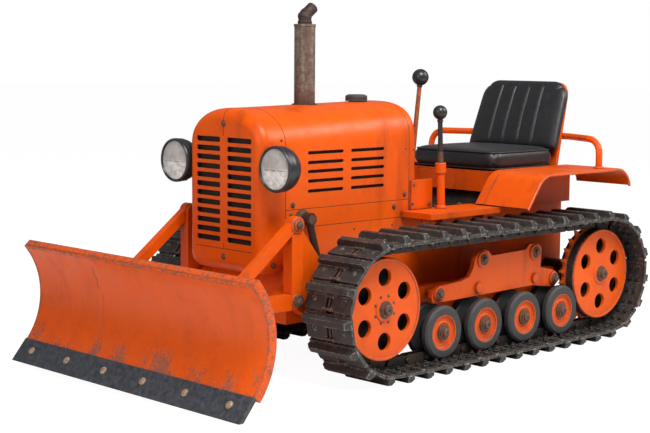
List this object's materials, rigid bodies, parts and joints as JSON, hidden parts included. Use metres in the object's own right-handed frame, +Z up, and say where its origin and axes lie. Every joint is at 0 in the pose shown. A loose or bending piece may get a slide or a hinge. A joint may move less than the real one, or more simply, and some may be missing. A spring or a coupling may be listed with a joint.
{
  "type": "small crawler bulldozer",
  "caption": "Small vintage crawler bulldozer: steel tracks, concave front blade that lifts on a braced push frame, slotted hood, round headlamps and an open seat.",
  "frame": {"origin": "on the ground below the middle of the machine's bounding box, blade included", "axes": "+X forwards, towards the blade; +Y to the machine's left; +Z up"},
  "size_m": [2.5604, 1.402, 1.4639],
  "materials": {
    "orange_paint": "gloss paint, worn at the edges",
    "edge_steel": "dark worn steel",
    "track_steel": "dark steel, bright at the grousers",
    "roller_tread": "dark tread",
    "rusty_steel": "rusty brown",
    "cast_iron": "dark castings",
    "black_vinyl": "black vinyl with stitched channels",
    "lamp_housing": "dark gloss"
  },
  "bodies": {
    "machine": {"main_frame": "orange_paint", "engine_block": "cast_iron", "transmission_housing": "cast_iron", "hood_base": "orange_paint", "hood": "orange_paint", "cowl": "orange_paint", "grille_shell": "orange_paint", "radiator_core": "cast_iron", "exhaust_stack": "rusty_steel", "exhaust_tip": "rusty_steel", "fuel_cap": "lamp_housing", "seat_base": "orange_paint", "seat_shell": "orange_paint", "seat_cushion": "black_vinyl", "seat_back": "black_vinyl", "seat_rail": "orange_paint", "gear_lever": "orange_paint", "steering_lever": "orange_paint", "rear_hitch": "orange_paint", "track_left": "track_steel", "idler_left": "orange_paint", "sprocket_left": "orange_paint", "roller_left_1": "roller_tread", "roller_left_2": "roller_tread", "roller_left_3": "roller_tread", "roller_left_4": "roller_tread", "track_frame_left": "orange_paint", "headlamp_left": "lamp_housing", "footplate_left": "orange_paint", "fender_left": "orange_paint", "pivot_bracket_left": "orange_paint", "lift_bracket_left": "rusty_steel", "track_right": "track_steel", "idler_right": "orange_paint", "sprocket_right": "orange_paint", "roller_right_1": "roller_tread", "roller_right_2": "roller_tread", "roller_right_3": "roller_tread", "roller_right_4": "roller_tread", "track_frame_right": "orange_paint", "headlamp_right": "lamp_housing", "footplate_right": "orange_paint", "fender_right": "orange_paint", "pivot_bracket_right": "orange_paint", "lift_bracket_right": "rusty_steel"},
    "blade": {"moldboard": "orange_paint", "cutting_edge": "edge_steel", "post_left": "orange_paint", "brace_left": "orange_paint", "push_arm_left": "orange_paint", "post_right": "orange_paint", "brace_right": "orange_paint", "push_arm_right": "orange_paint"},
    "lift_barrel_left": {"lift_barrel_left": "rusty_steel"},
    "lift_rod_left": {"lift_rod_left": "rusty_steel"},
    "lift_barrel_right": {"lift_barrel_right": "rusty_steel"},
    "lift_rod_right": {"lift_rod_right": "rusty_steel"}
  },
  "joints": [
    {"name": "blade_lift", "type": "hinge", "parent": "machine", "child": "blade", "pos_m": [0.67654, 0, 0.327], "axis": [0, -1, 0], "range_deg": [-5, 24]},
    {"name": "lift_swing_left", "type": "hinge", "parent": "machine", "child": "lift_barrel_left", "pos_m": [0.55154, 0.264, 0.624], "axis": [0, 1, 0], "range_deg": [-8, 8]},
    {"name": "lift_stroke_left", "type": "slide", "parent": "lift_barrel_left", "child": "lift_rod_left", "axis": [-0.2797, 0, -0.9601], "range_m": [-0.022, 0.09]},
    {"name": "lift_swing_right", "type": "hinge", "parent": "machine", "child": "lift_barrel_right", "pos_m": [0.55154, -0.264, 0.624], "axis": [0, 1, 0], "range_deg": [-8, 8]},
    {"name": "lift_stroke_right", "type": "slide", "parent": "lift_barrel_right", "child": "lift_rod_right", "axis": [-0.2797, 0, -0.9601], "range_m": [-0.022, 0.09]}
  ],
  "couplings": [
    {"joint": "lift_swing_left", "follows": "blade_lift", "ratio": -0.16129},
    {"joint": "lift_stroke_left", "follows": "blade_lift", "m_per_rad": 0.19612},
    {"joint": "lift_swing_right", "follows": "blade_lift", "ratio": -0.16129},
    {"joint": "lift_stroke_right", "follows": "blade_lift", "m_per_rad": 0.19612}
  ]
}
